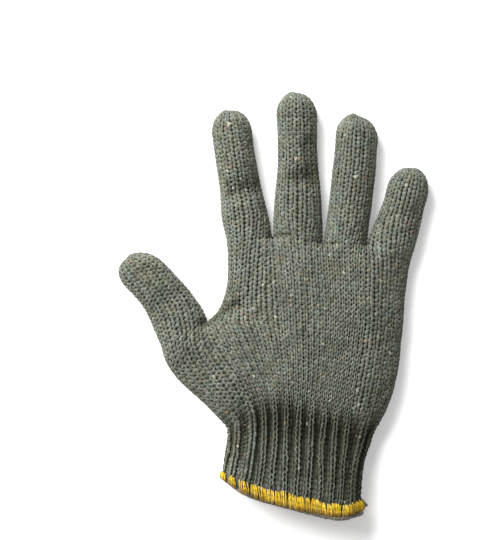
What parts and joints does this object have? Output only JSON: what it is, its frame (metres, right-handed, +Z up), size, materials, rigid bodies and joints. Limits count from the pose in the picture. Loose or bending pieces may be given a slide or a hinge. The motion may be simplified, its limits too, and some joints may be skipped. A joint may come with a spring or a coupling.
{
  "type": "cotton work glove",
  "caption": "Seamless string-knit work glove with finger stalls, a ribbed stretch cuff and an overlocked coloured hem, lying palm down with its fingers spread and open at the wrist.",
  "frame": {"origin": "on the surface that the glove lies on, under the middle of its bounding box", "axes": "+Y from the wrist towards the fingertips, +X towards the little finger, +Z up from the surface"},
  "size_m": [0.186, 0.2536, 0.0243],
  "materials": {
    "heather_knit": "grey-green heather cotton yarn with coloured flecks, matte",
    "rib_knit": "the same yarn, darker between the ribs, matte",
    "hem_yarn": "yellow overlock yarn with a soft sheen"
  },
  "bodies": {
    "root": {"palm_body": "heather_knit", "thumb_stall": "heather_knit", "index_stall": "heather_knit", "middle_stall": "heather_knit", "ring_stall": "heather_knit", "little_stall": "heather_knit", "ribbed_cuff": "rib_knit", "overlock_hem": "hem_yarn"}
  },
  "joints": []
}
